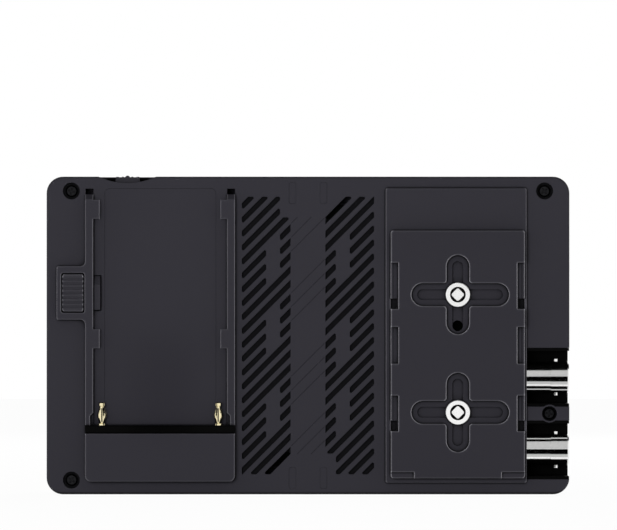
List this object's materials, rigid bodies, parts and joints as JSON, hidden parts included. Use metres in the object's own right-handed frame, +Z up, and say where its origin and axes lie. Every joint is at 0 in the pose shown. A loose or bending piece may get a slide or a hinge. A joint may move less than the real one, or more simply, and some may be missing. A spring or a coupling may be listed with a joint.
{
  "type": "camera field monitor",
  "caption": "Camera field monitor seen from behind, with a slide-on battery plate, an accessory plate, slanted vent slots and side video jacks.",
  "frame": {"origin": "centre of the tripod thread's mouth in the bottom face", "axes": "X to the right seen from behind, Y from the back towards the screen, Z up"},
  "size_m": [0.1514, 0.028, 0.0923],
  "materials": {
    "body_plastic": "fine moulded texture, dark violet grey",
    "black_plastic": "smooth black",
    "screen_mesh": "dark woven dust screen",
    "gold_contact": "gold plated",
    "bright_nickel": "bright nickel plate",
    "black_steel": "black oxide",
    "plain_steel": "plain steel",
    "insert_brass": "turned",
    "sink_aluminium": "dark anodised",
    "screen_glass": "dark polished glass",
    "soft_pad": "soft black pad",
    "white_plastic": "natural white",
    "board_laminate": "solder mask"
  },
  "bodies": {
    "case": {"rear_cover": "body_plastic", "battery_plate": "body_plastic", "accessory_plate": "body_plastic", "front_bezel": "body_plastic", "contact_bar": "black_plastic", "sdi_in_tub": "black_plastic", "sdi_out_tub": "black_plastic", "jog_switch": "black_plastic", "headphone_jack": "black_plastic", "power_jack": "black_plastic", "latch_retainer": "black_plastic", "board_chips": "black_plastic", "vent_screens": "screen_mesh", "battery_pins": "gold_contact", "jack_contacts": "gold_contact", "plate_screws": "bright_nickel", "sdi_in_jack": "bright_nickel", "sdi_out_jack": "bright_nickel", "case_screws": "black_steel", "latch_screws": "plain_steel", "board_screws": "plain_steel", "chassis_screws": "plain_steel", "latch_springs": "plain_steel", "video_in_port": "plain_steel", "video_out_port": "plain_steel", "power_pin": "plain_steel", "chassis_plate": "plain_steel", "plate_inserts": "insert_brass", "thread_inserts": "insert_brass", "heat_sink": "sink_aluminium", "cover_glass": "screen_glass", "lcd_panel": "screen_glass", "glass_tape": "soft_pad", "thermal_pad": "soft_pad", "jack_insulators": "white_plastic", "backlight_unit": "white_plastic", "port_tongues": "white_plastic", "main_board": "board_laminate", "display_ribbon": "board_laminate"},
    "latch": {"battery_latch": "body_plastic"},
    "jog_stem": {"jog_carriage": "black_plastic", "jog_pin": "plain_steel"},
    "jog_lever": {"jog_lever": "body_plastic"}
  },
  "joints": [
    {"name": "latch_press", "type": "slide", "parent": "case", "child": "latch", "axis": [0, 1, 0], "range_m": [0, 0.0022], "stiffness_N_per_m": 800, "deforming": ["latch_springs"]},
    {"name": "jog_press", "type": "slide", "parent": "case", "child": "jog_stem", "axis": [0, 0, -1], "range_m": [0, 0.0005], "stiffness_N_per_m": 1500},
    {"name": "jog_tilt", "type": "hinge", "parent": "jog_stem", "child": "jog_lever", "pos_m": [-0.0523, -0.0022, 0.0795], "axis": [0, 1, 0], "range_deg": [-6, 6], "stiffness_Nm_per_rad": 0.05}
  ]
}
